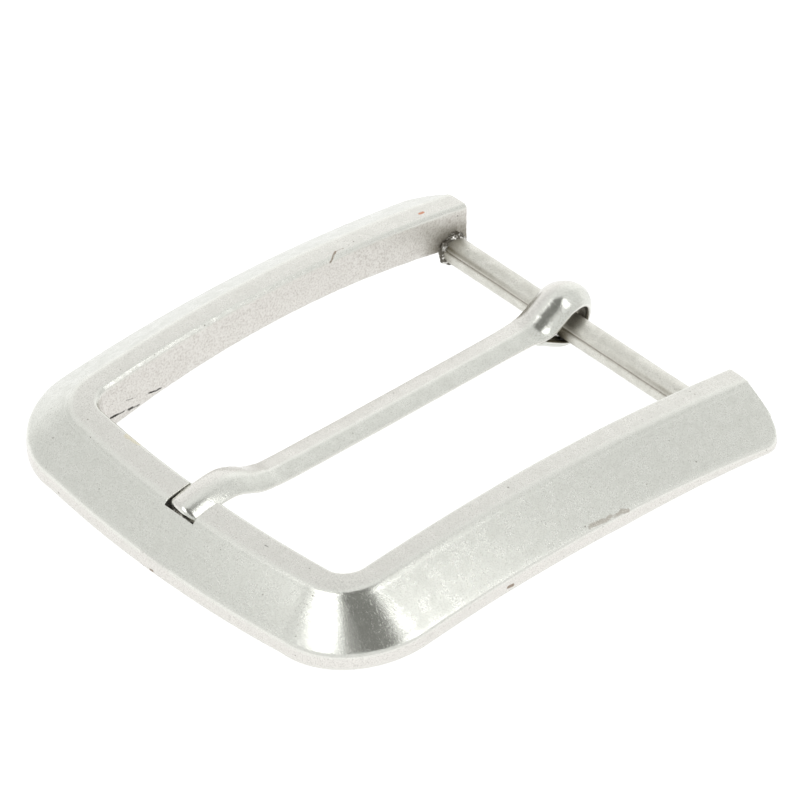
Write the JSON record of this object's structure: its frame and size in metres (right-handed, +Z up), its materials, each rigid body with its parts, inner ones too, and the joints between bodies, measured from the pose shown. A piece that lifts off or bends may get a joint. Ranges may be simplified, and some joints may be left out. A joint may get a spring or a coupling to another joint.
{
  "type": "belt buckle",
  "caption": "Arched three-sided cast belt buckle frame with a round heel bar and a formed prong that swings on it, for a 40 mm strap.",
  "frame": {"origin": "middle of the bounding box in plan, on the lowest point of the front side's rim", "axes": "+X across the strap, +Y along the strap towards the heel bar, +Z up out of the front face; the prong points to -Y"},
  "size_m": [0.0588, 0.0616, 0.01],
  "materials": {
    "cast_frame": "tumbled antique nickel plate on zinc casting, satin with fine scratches and dark pits",
    "bar_metal": "smooth nickel plate with a drawn seam",
    "prong_metal": "tumbled antique nickel plate, brighter on the bends",
    "braze_metal": "rough, dark plated braze"
  },
  "bodies": {
    "buckle_frame": {"frame": "cast_frame", "heel_bar": "bar_metal", "braze_left": "braze_metal", "braze_right": "braze_metal"},
    "prong": {"prong": "prong_metal"}
  },
  "joints": [
    {"name": "prong_swing", "type": "hinge", "parent": "buckle_frame", "child": "prong", "pos_m": [0, 0.02727, 0.00372], "axis": [-1, 0, 0], "range_deg": [0, 350]}
  ]
}
